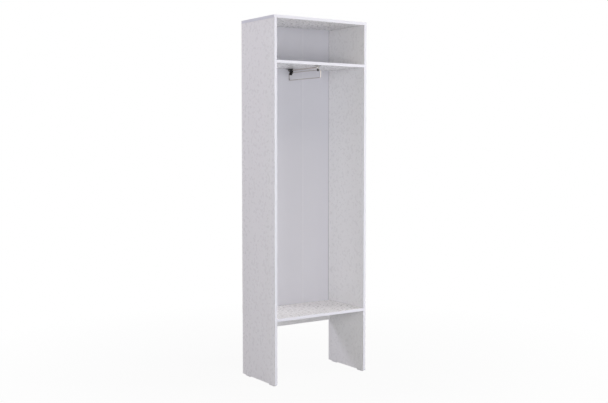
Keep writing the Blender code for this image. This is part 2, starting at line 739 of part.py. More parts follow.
def bracket(name, web_y, web_drop, bush_hole):
    """A flange screwed to the hat shelf, and a web with a round end that hangs from its front edge."""
    outline = filleted(rectangle(FLANGE_WIDTH, FLANGE_LENGTH, FLANGE_CORNER))
    flange = plate(name, outline, BRACKET)
    place(flange, (RAIL_X, web_y + FLANGE_LENGTH / 2, FLANGE_TOP - BRACKET / 2))
    half, round_z = WEB_WIDTH / 2, HAT_UNDERSIDE - web_drop
    web_top = FLANGE_TOP - BRACKET / 2
    corners = [
        (-half, web_top, 0),
        (-half, round_z - half, half),
        (half, round_z - half, half),
        (half, web_top, 0),
    ]
    web = plate(f"{name} web", filleted(corners, 2 * CORNER_STEPS), BRACKET, CUTTERS)
    place(web, (RAIL_X, web_y + BRACKET / 2, 0), RIGHTWARD, FORWARD)
    boolean(flange, web, "UNION")
    through = [((RAIL_X, web_y - OVERRUN, GUIDE_Z), (RAIL_X, web_y + BRACKET + OVERRUN, GUIDE_Z))]
    boolean(flange, rods(f"{name} rivet hole", through, RIVET_RADIUS + FIT))
    if bush_hole:
        through = [((RAIL_X, web_y - OVERRUN, WIRE_Z), (RAIL_X, web_y + BRACKET + OVERRUN, WIRE_Z))]
        boolean(flange, rods(f"{name} bush hole", through, BUSH_NECK_RADIUS + FIT))
    holes = [
        ((x, screw_row(web_y), FLANGE_TOP - BRACKET - OVERRUN), (x, screw_row(web_y), FLANGE_TOP + OVERRUN))
        for x in (RAIL_X - SCREW_SPREAD / 2, RAIL_X + SCREW_SPREAD / 2)
    ]
    boolean(flange, rods(f"{name} screw holes", holes, SCREW_RADIUS + FIT))
    finish(flange, ZINC)


def bracket_screw_mesh():
    """Local Z points out of the head, and the head rests on the local XY plane."""
    tall, shoulder = SCREW_HEAD_HEIGHT, SCREW_HEAD_RADIUS * SCREW_SHOULDER_SHARE
    profile = [
        (0, tall),
        (shoulder, tall),
        (SCREW_HEAD_RADIUS, tall / 2),
        (SCREW_HEAD_RADIUS, 0),
        (SCREW_RADIUS, 0),
        (SCREW_RADIUS, SCREW_TIP_LENGTH - SCREW_LENGTH),
        (0, -SCREW_LENGTH),
    ]
    screw = turned("bracket screw", profile)
    outline = plus_outline(SCREW_RECESS_ARM, SCREW_RECESS_WIDTH)
    recess = plate("screw recess", outline, 2 * SCREW_RECESS_DEPTH, CUTTERS)
    place(recess, (0, 0, tall))
    mesh = carried_out(boolean(screw, recess))
    smooth(mesh)
    return mesh


def guide_bar():
    """A round bar whose thinner ends pass through the webs and are riveted over. Local Z points forward."""
    front, rear = FRONT_WEB + BRACKET + FIT, REAR_WEB - FIT
    front_head, rear_head = FRONT_WEB - FIT, REAR_WEB + BRACKET + FIT
    middle = (front + rear) / 2
    profile = [
        (0, middle - front_head + RIVET_HEAD_HEIGHT),
        (RIVET_HEAD_RADIUS, middle - front_head + RIVET_HEAD_HEIGHT),
        (RIVET_HEAD_RADIUS, middle - front_head),
        (RIVET_RADIUS, middle - front_head),
        (RIVET_RADIUS, middle - front),
        (GUIDE_RADIUS, middle - front),
        (GUIDE_RADIUS, middle - rear),
        (RIVET_RADIUS, middle - rear),
        (RIVET_RADIUS, middle - rear_head),
        (RIVET_HEAD_RADIUS, middle - rear_head),
        (RIVET_HEAD_RADIUS, middle - rear_head - RIVET_HEAD_HEIGHT),
        (0, middle - rear_head - RIVET_HEAD_HEIGHT),
    ]
    bar = new_object("rail_guide_bar", carried_out(turned("bar", profile, GUIDE_SIDES)))
    smooth(bar.data)
    finish(place(bar, (RAIL_X, middle, GUIDE_Z), RIGHTWARD, FORWARD), CHROME)


def front_bush():
    """A plastic bush clipped into the front web, through which the loop's top wire slides."""
    bore, rim = WIRE_RADIUS + FIT, BUSH_FLANGE_RADIUS - BUSH_CHAMFER
    inner, outer = BRACKET / 2 + FIT, BRACKET / 2 + FIT + BUSH_FLANGE
    half = [
        (bore, outer),
        (rim, outer),
        (BUSH_FLANGE_RADIUS, outer - BUSH_CHAMFER),
        (BUSH_FLANGE_RADIUS, inner),
        (BUSH_NECK_RADIUS, inner),
    ]
    profile = half + [(radius, -along) for radius, along in reversed(half)]
    bush = turned("bush", profile, GUIDE_SIDES, closed=True)
    bush = new_object("rail_front_bush", carried_out(bush))
    smooth(bush.data)
    finish(place(bush, (RAIL_X, FRONT_WEB + BRACKET / 2, WIRE_Z), RIGHTWARD, FORWARD), BLACK_PLASTIC)


bracket("rail_front_bracket", FRONT_WEB, LOOP_TOP_DROP, bush_hole=True)
bracket("rail_rear_bracket", REAR_WEB, GUIDE_DROP, bush_hole=False)
guide_bar()
front_bush()
SCREW_MESH = bracket_screw_mesh()
for row, web in (("front", FRONT_WEB), ("rear", REAR_WEB)):
    screw_holes_up = []
    for side_name, side_sign in SIDES:
        screw_x = RAIL_X + side_sign * SCREW_SPREAD / 2
        head_z = FLANGE_TOP - BRACKET - FIT
        screw_at = (screw_x, screw_row(web), head_z)
        fastener(f"bracket_screw_{row}_{side_name}", SCREW_MESH, ZINC, screw_at, RIGHTWARD, DOWNWARD)
        hole_top = head_z + SCREW_LENGTH + FIT
        screw_holes_up.append(
            ((screw_x, screw_row(web), HAT_UNDERSIDE - OVERRUN), (screw_x, screw_row(web), hole_top))
        )
    boolean(hat_shelf, rods(f"hat shelf {row} screw holes", screw_holes_up, SCREW_RADIUS + FIT))


# Hanger rail: what slides out, on an empty that lies on the guide bar's axis

LOOP_FRONT = FRONT + LOOP_FRONT_INSET
LOOP_REAR = BOARD_REAR - LOOP_REAR_INSET
BLOCK_Y = LOOP_REAR - BLOCK_TO_WIRE
SLIDE = new_object("hanger_slide", None)
SLIDE.location = (RAIL_X, BLOCK_Y, GUIDE_Z)


def slider_block():
    """A block with bores for the guide bar and the wire. Its rear half hangs lower than its front."""
    half, top = BLOCK_LENGTH / 2, GUIDE_DROP - BLOCK_TOP_GAP
    front_foot, rear_foot = GUIDE_DROP - BLOCK_FRONT_DROP, GUIDE_DROP - BLOCK_REAR_DROP
    corners = [
        (-half, top, BLOCK_CORNER),
        (-half, front_foot, BLOCK_CORNER),
        (0, front_foot, BLOCK_CORNER),
        (0, rear_foot, BLOCK_CORNER),
        (half, rear_foot, BLOCK_CORNER),
        (half, top, BLOCK_CORNER),
    ]
    block = chamfer(plate("slider_block", filleted(corners), BLOCK_WIDTH), BLOCK_CHAMFER)
    block.parent = SLIDE
    place(block, (0, 0, 0), BACKWARD, RIGHTWARD)
    for use, drop, radius in (("bar", GUIDE_DROP, GUIDE_RADIUS), ("wire", LOOP_TOP_DROP, WIRE_RADIUS)):
        height = GUIDE_DROP - drop
        bore = rods(
            f"block {use} bore",
            [((0, -half - OVERRUN, height), (0, half + OVERRUN, height))],
            radius + FIT,
            sides=GUIDE_SIDES,
        )
        bore.parent = SLIDE
        boolean(block, bore)
    finish(block, BLACK_PLASTIC)


def hanger_loop():
    """A closed rectangle of round wire, its corners bent, in the plane of the guide bar."""
    front, rear = LOOP_FRONT - BLOCK_Y, LOOP_REAR - BLOCK_Y
    top, foot = GUIDE_DROP - LOOP_TOP_DROP, GUIDE_DROP - LOOP_BOTTOM_DROP
    corners = [(y, z, LOOP_CORNER) for y, z in ((front, foot), (rear, foot), (rear, top), (front, top))]
    path = filleted(corners, 2 * CORNER_STEPS)
    curve = bpy.data.curves.new("hanger_loop", "CURVE")
    curve.dimensions = "3D"
    curve.bevel_depth = WIRE_RADIUS
    curve.bevel_resolution = 2
    spline = curve.splines.new("POLY")
    spline.points.add(len(path) - 1)
    for point, (y, z) in zip(spline.points, path):
        point.co = (0, y, z, 1)
    spline.use_cyclic_u = True
    loop = new_object("hanger_loop", curve)
    loop.parent = SLIDE
    finish(loop, CHROME)


slider_block()
hanger_loop()
bpy.context.view_layer.update()
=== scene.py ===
"""The open hall wardrobe's finishes, small fittings, light and camera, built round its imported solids.

Units are metres. +Z is up, the front faces -Y, +X is to the right of someone who looks at the front, and the
origin lies on the floor in the middle of the footprint.
"""

import json
import math

import bmesh
import bpy
from mathutils import Matrix, Vector

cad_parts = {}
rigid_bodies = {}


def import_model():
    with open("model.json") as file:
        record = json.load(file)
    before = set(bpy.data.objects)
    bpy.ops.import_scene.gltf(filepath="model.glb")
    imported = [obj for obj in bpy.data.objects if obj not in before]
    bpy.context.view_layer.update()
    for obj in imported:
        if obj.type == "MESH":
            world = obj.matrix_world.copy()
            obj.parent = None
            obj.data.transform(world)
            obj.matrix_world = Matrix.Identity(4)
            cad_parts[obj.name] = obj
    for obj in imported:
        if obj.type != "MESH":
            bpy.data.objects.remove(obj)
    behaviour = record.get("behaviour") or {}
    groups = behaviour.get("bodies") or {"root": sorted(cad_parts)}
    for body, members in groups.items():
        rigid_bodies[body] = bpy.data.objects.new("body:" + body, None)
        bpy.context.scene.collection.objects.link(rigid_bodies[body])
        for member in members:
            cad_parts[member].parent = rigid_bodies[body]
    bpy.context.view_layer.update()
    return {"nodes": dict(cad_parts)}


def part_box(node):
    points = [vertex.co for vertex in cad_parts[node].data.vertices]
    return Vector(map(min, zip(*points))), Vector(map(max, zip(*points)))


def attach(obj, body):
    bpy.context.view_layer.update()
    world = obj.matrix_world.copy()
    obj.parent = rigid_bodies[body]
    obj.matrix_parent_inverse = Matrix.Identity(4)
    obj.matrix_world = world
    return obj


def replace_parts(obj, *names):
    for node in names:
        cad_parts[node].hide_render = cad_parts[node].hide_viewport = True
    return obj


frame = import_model()
NODES = frame["nodes"]

# Camera, as solved from the edges in the photograph's frame
IMAGE_WIDTH = 608
FOCAL_PIXELS = 935.62
SHIFT_PIXELS = 8
CAMERA_PLACE = (-3.0031, -4.3844, 1.3365)
CAMERA_YAW = 0.60026
CAMERA_PITCH = math.radians(3.287)
SENSOR = 36

# Light and surroundings
WHITE = (1.0, 1.0, 1.0)
WORLD_STRENGTH = 0.15
FLOOR_SIZE = 40
FLOOR_COLOUR = (0.50, 0.50, 0.50)
FLOOR_ROUGHNESS = 0.9
# The share of plain white in the floor, and the distances from the middle between which it grows
FLOOR_GLOW_NEAR, FLOOR_GLOW_FAR = 0.94, 1.0
FLOOR_GLOW_START, FLOOR_GLOW_END = 0.6, 2.4
LAMP_TARGET = (0, 0, 1.1)
LAMPS = (
    # name, place, side, watts, colour
    ("front_softbox", (-1.7, -4.2, 1.3), 2.2, 96, WHITE),
    ("front_left_softbox", (-3.41, -2.86, 1.73), 1.4, 10, WHITE),
    ("right_reflector", (3.45, -2.9, 1.2), 0.4, 88, WHITE),
    ("right_softbox", (2.9, -1.7, 4.1), 2.0, 50, WHITE),
    ("top_softbox", (0, -2.2, 5.0), 2.0, 41, (1.12, 0.985, 0.82)),
    ("left_softbox", (-2.2, 0.1, 2.9), 0.8, 6, (1.02, 0.96, 1.02)),
    ("rear_left_softbox", (-3.35, 2.6, 2.55), 1.0, 50, (0.98, 0.925, 1.06)),
    ("rear_right_softbox", (2.6, 3.2, 2.6), 2.2, 50, WHITE),
)
METAL_LAMP = ("metal_reflector", (3.45, -2.9, 1.2), 0.4, 45, WHITE)

# Colours of the finishes
LAMINATE_COLOUR = (0.800, 0.797, 0.812)
BAND_COLOUR = (0.666, 0.671, 0.736)
BACK_COLOUR = (0.620, 0.619, 0.671)
STRIP_COLOUR = (0.650, 0.649, 0.698)
FIBRE_DARK, FIBRE_LIGHT = (0.20, 0.115, 0.060), (0.36, 0.225, 0.125)
CHIP_DARK, CHIP_MIDDLE, CHIP_LIGHT = (0.24, 0.155, 0.085), (0.50, 0.36, 0.22), (0.70, 0.55, 0.37)
GLIDE_COLOUR = (0.72, 0.72, 0.75)
CHROME_COLOUR = (0.68, 0.627, 0.59)
ZINC_COLOUR = (0.58, 0.58, 0.60)
BRACKET_COLOUR = (0.40, 0.39, 0.38)
CAST_COLOUR = (0.50, 0.50, 0.51)
BLACK_COLOUR = (0.006, 0.006, 0.007)
BEECH_DARK, BEECH_LIGHT = (0.50, 0.33, 0.19), (0.66, 0.48, 0.31)

# Small sizes that the frame's boxes don't give
SHEET_METAL = 0.0015
BEND_RADIUS = 0.003
FLANGE_CORNER = 0.003
FLANGE_LIP = 0.003
WEB_WIDTH = 0.015
WEB_THROAT_RADIUS = 0.003
METAL_ROUNDING = 0.0002
SCREW_HOLE_RADIUS = 0.0019
RIVET_HOLE_RADIUS = 0.0028
BUSH_HOLE_RADIUS = 0.0047
RIVET_RADIUS = 0.0025
RIVET_HEAD_RADIUS = 0.0037
RIVET_HEAD_HEIGHT = 0.0007
PLAY = 0.0003
LOOP_CORNER = 0.008
BUSH_NECK_RADIUS = 0.0044
BUSH_FLANGE = 0.0024
BUSH_ROUNDING = 0.0008
BLOCK_CORNER = 0.0022
BLOCK_ROUNDING = 0.0007
BLOCK_STEP = 0.009
BLOCK_TOP_TO_BAR = 0.008
BLOCK_TOP_TO_WIRE = 0.022
OVERRUN = 0.002
WELD = 0.000005
NAIL_HEAD_RADIUS = 0.0015
NAIL_HEAD_HEIGHT = 0.0005
NAIL_RIM = 0.0002
NAIL_PITCH = 0.115
NAIL_EDGE = 0.008
NAIL_END = 0.020
BOARD_CHAMFER = 0.0005
BAND_ROUNDING = 0.0003
SHEET_CHAMFER = 0.0002

# How finely the round shapes are divided, and which angles count as edges
ROUND_SIDES = 48
NAIL_SIDES = 20
RIM_STEPS = 4
BEND_STEPS = 8
LOOP_STEPS = 10
WEB_STEPS = 16
WIRE_RESOLUTION = 6
ROUNDED_ANGLE = math.radians(35)
SMOOTH_ANGLE = math.radians(40)

# Finishes in general. A scale is a noise's cells to the metre, in all directions or along each axis. The noise stays
# mostly between its low and its high value. A bump is the strength of a relief
NOISE_LOW, NOISE_HIGH = 0.3, 0.7
FACE_SHARE = 0.9
FINE_RELIEF = 0.0001

# Laminate: grain, streaks and clouds in the paper, and chips on the raw edges
UPRIGHT_GRAIN, ACROSS_GRAIN = (260, 260, 7), (7, 260, 260)
STREAK_SHARE = 0.15
CLOUD_SCALE, GLOSS_SCALE, PEEL_SCALE = 5.0, 60.0, 650.0
GRAIN_PART, STREAK_PART, CLOUD_PART = 0.3, 0.4, 0.3
PAPER_DARKER, PAPER_LIGHTER = 0.965, 1.015
PAPER_ROUGHNESS = (0.24, 0.32)
PEEL_PART, PORE_PART = 0.3, 0.5
PAPER_BUMP = 0.1
CHIP_SCALE, CHIP_DUST_SCALE = (700, 700, 420), 1500.0
CHIP_PART, CHIP_DUST_PART = 0.7, 0.3
CHIP_STOPS = ((0.15, CHIP_DARK), (0.5, CHIP_MIDDLE), (0.85, CHIP_LIGHT))
CHIP_ROUGHNESS = 0.9
CHIP_HEIGHT = 10.0

# Edge bands
DRAG_SCALE, BAND_GLOSS_SCALE = 25.0, 420.0
BAND_DARKER = 0.985
BAND_ROUGHNESS = (0.34, 0.42)
BAND_BUMP = 0.12

# Hardboard: paint on the front, threads and patches of fibres on the other faces
PAINT_CLOUD_SCALE, PAINT_SKIN_SCALE = (6, 6, 2.5), 500.0
PAINT_DARKER = 0.975
PAINT_SKIN_HEIGHT = 0.5
THREAD_SCALE, PATCH_SCALE = (900, 900, 260), 14.0
THREAD_PART, PATCH_PART = 0.65, 0.35
PAINT_ROUGHNESS, FIBRE_ROUGHNESS = 0.50, 0.72
HARDBOARD_BUMP = 0.25
# Painted shade in the corners where the back sheets meet the side panels: its reach, and the share of the paint's
# colour there
CORNER_PAINTED_SHADE_REACH = 0.004
CORNER_PAINTED_SHADE = 0.45

# Plastics. A grain is roughness, scale, depth and specular level
PLASTIC_DARKER = 0.95
PLASTIC_ROUGHNESS_SPREAD = 0.04
PLASTIC_BUMP = 0.3
STRIP_GRAIN = (0.42, 300.0, 0.00005, 0.5)
GLIDE_GRAIN = (0.45, 900.0, FINE_RELIEF, 0.5)
BLACK_GRAIN = (0.45, 1800.0, FINE_RELIEF, 0.25)

# Metals. A polish is the lowest and the highest roughness, and the scale and depth of the fine lines
METAL_DARKER = 0.93
METAL_BUMP = 0.2
CHROME_POLISH = (0.08, 0.17, (2600, 60, 2600), 0.00002)
ZINC_POLISH = (0.28, 0.42, (900, 900, 300), 0.00003)
BRACKET_POLISH = (0.13, 0.22, (900, 900, 300), 0.00002)
CAST_POLISH = (0.45, 0.60, (1200, 1200, 1200), FINE_RELIEF)
# Painted light on the wire loop: its reach from each end, a painted highlight at the front end and painted shade at
# the rear end
PAINTED_END_REACH = 0.014
FRONT_PAINTED_HIGHLIGHT, REAR_PAINTED_SHADE = 1.45, 0.50

# Beech
BEECH_SCALE = (120, 900, 900)
BEECH_ROUGHNESS = 0.7
BEECH_BUMP = 0.3


# Helpers: node trees


def new_tree(name):
    """A material with its node tree and its Principled shader."""
    material = bpy.data.materials.new(name)
    material.use_nodes = True
    tree = material.node_tree
    return material, tree, tree.nodes["Principled BSDF"]


def add(tree, kind, settings=None, inputs=None):
    """A node with these settings and inputs. An input that is a socket is linked, and any other is a value."""
    made = tree.nodes.new(kind)
    for key, value in (settings or {}).items():
        setattr(made, key, value)
    for key, value in (inputs or {}).items():
        if isinstance(value, bpy.types.NodeSocket):
            tree.links.new(value, made.inputs[key])
        else:
            made.inputs[key].default_value = value
    return made


def opaque(colour):
    return (*colour, 1)


def shaded(colour, share):
    return tuple(share * value for value in colour)


def object_point(tree):
    return add(tree, "ShaderNodeTexCoord").outputs["Object"]


def stretched(tree, scale):
    """The object's coordinates multiplied by a scale along each axis."""
    mapping = add(tree, "ShaderNodeMapping", None, {"Vector": object_point(tree), "Scale": scale})
    return mapping.outputs["Vector"]


def noise(tree, scale, detail=2.0, roughness=0.5):
    """A noise of this scale, which is one number for all directions or one for each axis."""
    if isinstance(scale, tuple):
        inputs = {"Vector": stretched(tree, scale), "Scale": 1.0}
    else:
        inputs = {"Vector": object_point(tree), "Scale": scale}
    inputs.update(Detail=detail, Roughness=roughness)
    return add(tree, "ShaderNodeTexNoise", None, inputs).outputs["Fac"]


def ramp(tree, value, stops):
    """Colours between which a value from 0 to 1 moves. The stops are (place, colour)."""
    node = add(tree, "ShaderNodeValToRGB", None, {"Fac": value})
    elements = node.color_ramp.elements
    while len(elements) < len(stops):
        elements.new(1)
    for element, (place, colour) in zip(elements, stops):
        element.position = place
        element.color = opaque(colour)
    return node.outputs["Color"]


def mottled(tree, value, dark, light):
    """The dark colour where a noise is low, up to the light one where it is high."""
    return ramp(tree, value, ((NOISE_LOW, dark), (NOISE_HIGH, light)))


def between(tree, value, low, high, start=0.0, end=1.0):
    """A value from start to end, brought to between low and high."""
    inputs = {"Value": value, "From Min": start, "From Max": end, "To Min": low, "To Max": high}
    return add(tree, "ShaderNodeMapRange", None, inputs).outputs["Result"]


def calculate(tree, operation, first, second=0.0):
    return add(tree, "ShaderNodeMath", {"operation": operation}, {0: first, 1: second}).outputs[0]


def weighted(tree, *parts):
    """The sum of some values, each multiplied by its share. The parts are (value, share)."""
    total = 0.0
    for value, share in parts:
        total = calculate(tree, "ADD", calculate(tree, "MULTIPLY", value, share), total)
    return total


def mixed(tree, factor, first, second, kind="RGBA"):
    """first where the factor is 0 and second where it is 1, of colours or of numbers."""
    node = add(tree, "ShaderNodeMix", {"data_type": kind})
    names = {"RGBA": ("A_Color", "B_Color", "Result_Color"), "FLOAT": ("A_Float", "B_Float", "Result_Float")}
    sockets = {socket.identifier: socket for socket in (*node.inputs, *node.outputs)}
    tree.links.new(factor, sockets["Factor_Float"])
    for name, value in zip(names[kind], (first, second)):
        if isinstance(value, bpy.types.NodeSocket):
            tree.links.new(value, sockets[name])
        else:
            sockets[name].default_value = value
    return sockets[names[kind][2]]


def bump(tree, shader, height, strength, distance):
    inputs = {"Height": height, "Strength": strength, "Distance": distance}
    tree.links.new(add(tree, "ShaderNodeBump", None, inputs).outputs["Normal"], shader.inputs["Normal"])


def faces_along(tree, axis, signed=False):
    """1 on faces that look along this axis of the object, to either side or, signed, to its lower side alone."""
    normal = add(tree, "ShaderNodeTexCoord").outputs["Normal"]
    across = add(tree, "ShaderNodeSeparateXYZ", None, {"Vector": normal}).outputs["XYZ".index(axis)]
    if signed:
        return calculate(tree, "LESS_THAN", across, -FACE_SHARE)
    return calculate(tree, "GREATER_THAN", calculate(tree, "ABSOLUTE", across), FACE_SHARE)


def closeness(tree, axis, places, reach):
    """1 on these planes across an axis of the object, down to 0 at this distance from them."""
    across = add(tree, "ShaderNodeSeparateXYZ", None, {"Vector": object_point(tree)}).outputs["XYZ".index(axis)]
    nearest = 0.0
    for place in places:
        gap = calculate(tree, "ABSOLUTE", calculate(tree, "SUBTRACT", across, place))
        nearest = calculate(tree, "MAXIMUM", between(tree, gap, 1.0, 0.0, 0.0, reach), nearest)
    return nearest


# Finishes


def chip_colour(tree):
    """Pressed wood chips of mixed sizes, as on the raw edges of the boards."""
    chips = add(tree, "ShaderNodeTexVoronoi", None, {"Vector": stretched(tree, CHIP_SCALE), "Scale": 1.0})
    picked = add(tree, "ShaderNodeSeparateColor", None, {"Color": chips.outputs["Color"]}).outputs["Red"]
    dust_and_painted_shade = noise(tree, CHIP_DUST_SCALE)
    value = weighted(tree, (picked, CHIP_PART), (dust_and_painted_shade, CHIP_DUST_PART))
    return ramp(tree, value, CHIP_STOPS), value


def laminate(name, skin_axis, grain_scale):
    """White melamine paper on both faces of a chipboard, whose raw edges show where no band covers them."""
    material, tree, shader = new_tree(name)
    skin = faces_along(tree, skin_axis)
    grain = noise(tree, grain_scale, detail=5.0, roughness=0.55)
    cloud = noise(tree, CLOUD_SCALE)
    streaks = noise(tree, shaded(grain_scale, STREAK_SHARE))
    mottle = weighted(tree, (grain, GRAIN_PART), (streaks, STREAK_PART), (cloud, CLOUD_PART))
    paper = mottled(tree, mottle, shaded(LAMINATE_COLOUR, PAPER_DARKER), shaded(LAMINATE_COLOUR, PAPER_LIGHTER))
    chips, chip_height = chip_colour(tree)
    tree.links.new(mixed(tree, skin, chips, paper), shader.inputs["Base Color"])
    sheen = between(tree, noise(tree, GLOSS_SCALE), *PAPER_ROUGHNESS)
    tree.links.new(mixed(tree, skin, CHIP_ROUGHNESS, sheen, "FLOAT"), shader.inputs["Roughness"])
    peel = noise(tree, PEEL_SCALE)
    paper_height = weighted(tree, (grain, PORE_PART), (peel, PEEL_PART))
    height = mixed(tree, skin, calculate(tree, "MULTIPLY", chip_height, CHIP_HEIGHT), paper_height, "FLOAT")
    bump(tree, shader, height, PAPER_BUMP, FINE_RELIEF)
    return material


def edge_band():
    """Smooth plastic with the faint drag lines of the edging machine."""
    material, tree, shader = new_tree("edge_band")
    drag = noise(tree, DRAG_SCALE, detail=3.0)
    tree.links.new(mottled(tree, drag, shaded(BAND_COLOUR, BAND_DARKER), BAND_COLOUR), shader.inputs["Base Color"])
    fine = noise(tree, BAND_GLOSS_SCALE)
    tree.links.new(between(tree, fine, *BAND_ROUGHNESS), shader.inputs["Roughness"])
    bump(tree, shader, fine, BAND_BUMP, FINE_RELIEF)
    return material


def hardboard():
    """Thin fibreboard, painted on the face that looks to the front and raw brown on all others, with painted shade
    in the corners by the side panels.
    """
    material, tree, shader = new_tree("hardboard")
    painted = faces_along(tree, "Y", signed=True)
    cloud = noise(tree, PAINT_CLOUD_SCALE, detail=3.0)
    paint = mottled(tree, cloud, shaded(BACK_COLOUR, PAINT_DARKER), BACK_COLOUR)
    side_low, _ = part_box("right_side_panel")
    # Painted shade: the paint darkens towards the side panels' inner faces, in the corners at the back
    dust_and_painted_shade = closeness(tree, "X", (side_low.x, -side_low.x), CORNER_PAINTED_SHADE_REACH)
    paint = mixed(tree, dust_and_painted_shade, paint, opaque(shaded(BACK_COLOUR, CORNER_PAINTED_SHADE)))
    threads = noise(tree, THREAD_SCALE, detail=4.0, roughness=0.65)
    patches = noise(tree, PATCH_SCALE, detail=3.0)
    fibres = weighted(tree, (threads, THREAD_PART), (patches, PATCH_PART))
    fibres = mottled(tree, fibres, FIBRE_DARK, FIBRE_LIGHT)
    tree.links.new(mixed(tree, painted, fibres, paint), shader.inputs["Base Color"])
    roughness = mixed(tree, painted, FIBRE_ROUGHNESS, PAINT_ROUGHNESS, "FLOAT")
    tree.links.new(roughness, shader.inputs["Roughness"])
    skin = noise(tree, PAINT_SKIN_SCALE)
    height = mixed(tree, painted, threads, calculate(tree, "MULTIPLY", skin, PAINT_SKIN_HEIGHT), "FLOAT")
    bump(tree, shader, height, HARDBOARD_BUMP, FINE_RELIEF)
    return material


def plastic(name, colour, grain):
    """Moulded plastic with a fine sparked grain."""
    material, tree, shader = new_tree(name)
    roughness, scale, depth, specular = grain
    shader.inputs["Specular IOR Level"].default_value = specular
    grit = noise(tree, scale)
    tree.links.new(mottled(tree, grit, shaded(colour, PLASTIC_DARKER), colour), shader.inputs["Base Color"])
    low, high = roughness - PLASTIC_ROUGHNESS_SPREAD, roughness + PLASTIC_ROUGHNESS_SPREAD
    tree.links.new(between(tree, grit, low, high), shader.inputs["Roughness"])
    bump(tree, shader, grit, PLASTIC_BUMP, depth)
    return material


def metal(name, colour, polish, ends=()):
    """Bare metal whose polish varies along fine lines. The ends are (place along Y, share of the colour there):
    painted light, a painted highlight where the share is above 1 and painted shade where it is below.
    """
    material, tree, shader = new_tree(name)
    low, high, scale, depth = polish
    shader.inputs["Metallic"].default_value = 1.0
    lines = noise(tree, scale, detail=4.0, roughness=0.6)
    tint = mottled(tree, lines, shaded(colour, METAL_DARKER), colour)
    for place, share in ends:
        near_end = closeness(tree, "Y", (place,), PAINTED_END_REACH)
        tint = mixed(tree, near_end, tint, opaque(shaded(colour, share)))
    tree.links.new(tint, shader.inputs["Base Color"])
    tree.links.new(between(tree, lines, low, high, NOISE_LOW, NOISE_HIGH), shader.inputs["Roughness"])
    bump(tree, shader, lines, METAL_BUMP, depth)
    return material


def beech():
    material, tree, shader = new_tree("beech")
    rays = noise(tree, BEECH_SCALE, detail=4.0)
    tree.links.new(mottled(tree, rays, BEECH_DARK, BEECH_LIGHT), shader.inputs["Base Color"])
    shader.inputs["Roughness"].default_value = BEECH_ROUGHNESS
    bump(tree, shader, rays, BEECH_BUMP, FINE_RELIEF)
    return material


SIDE_LAMINATE = laminate("side_laminate", "X", UPRIGHT_GRAIN)
SHELF_LAMINATE = laminate("shelf_laminate", "Z", ACROSS_GRAIN)
STRETCHER_LAMINATE = laminate("stretcher_laminate", "Y", ACROSS_GRAIN)
EDGE_BAND = edge_band()
HARDBOARD = hardboard()
STRIP_PLASTIC = plastic("strip_plastic", STRIP_COLOUR, STRIP_GRAIN)
GLIDE_PLASTIC = plastic("glide_plastic", GLIDE_COLOUR, GLIDE_GRAIN)
BLACK_PLASTIC = plastic("black_plastic", BLACK_COLOUR, BLACK_GRAIN)
CHROME = metal("chrome", CHROME_COLOUR, CHROME_POLISH)
ZINC = metal("zinc_plate", ZINC_COLOUR, ZINC_POLISH)
BRACKET_STEEL = metal("bracket_steel", BRACKET_COLOUR, BRACKET_POLISH)
CAST = metal("die_cast", CAST_COLOUR, CAST_POLISH)
BEECH = beech()

FINISHES = (
    # a node's name starts with the first, and ends with the second where there is one
    ("left_side_panel", "", SIDE_LAMINATE),
    ("right_side_panel", "", SIDE_LAMINATE),
    ("top_panel", "", SHELF_LAMINATE),
    ("hat_shelf_cam", "", CAST),
    ("hat_shelf_bolt", "", ZINC),
    ("bench_cam", "", CAST),
    ("bench_bolt", "", ZINC),
    ("stretcher_cam", "", CAST),
    ("stretcher_bolt", "", ZINC),
    ("stretcher_dowel", "", BEECH),
    ("", "_band", EDGE_BAND),
    ("hat_shelf", "", SHELF_LAMINATE),
    ("bench_shelf", "", SHELF_LAMINATE),
    ("rear_stretcher", "", STRETCHER_LAMINATE),
    ("back_sheet", "", HARDBOARD),
    ("back_joint_strip", "", STRIP_PLASTIC),
    ("glide", "", GLIDE_PLASTIC),
    ("top_screw", "", ZINC),
    ("bracket_screw", "", ZINC),
    ("rail_front_bush", "", BLACK_PLASTIC),
    ("slider_block", "", BLACK_PLASTIC),
    ("rail_guide_bar", "", CHROME),
    ("hanger_loop", "", CHROME),
    ("rail_", "_bracket", BRACKET_STEEL),
)


def finish_of(name):
    for start, end, material in FINISHES:
        if name.startswith(start) and name.endswith(end):
            return material
    raise ValueError(f"{name} has no finish")


EDGES = {
    # width and segments of the rounding at the edges of the nodes with this finish
    SIDE_LAMINATE: (BOARD_CHAMFER, 1),
    SHELF_LAMINATE: (BOARD_CHAMFER, 1),
    STRETCHER_LAMINATE: (BOARD_CHAMFER, 1),
    EDGE_BAND: (BAND_ROUNDING, 2),
    HARDBOARD: (SHEET_CHAMFER, 1),
}


def soften(obj, width, segments):
    """Takes the sharpness off the edges, as a saw, a trimmer and sandpaper do."""
    bevel = obj.modifiers.new("edges", "BEVEL")
    bevel.width = width
    bevel.segments = segments
    bevel.limit_method = "ANGLE"
    return bevel


for node_name, node_object in NODES.items():
    finish = finish_of(node_name)
    node_object.data.materials.clear()
    node_object.data.materials.append(finish)
    if finish in EDGES:
        soften(node_object, *EDGES[finish])


# Helpers: shapes


def piece(name, data, material, body="carcass"):
    """A new piece of the scene that rides on a body and wears a finish."""
    obj = bpy.data.objects.new(name, data)
    bpy.context.scene.collection.objects.link(obj)
    obj.data.materials.clear()
    obj.data.materials.append(material)
    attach(obj, body)
    return obj


def loose(name, data):
    """An object in the scene that isn't a piece, such as a lamp or a shape that is still being worked on."""
    obj = bpy.data.objects.new(name, data)
    bpy.context.scene.collection.objects.link(obj)
    return obj


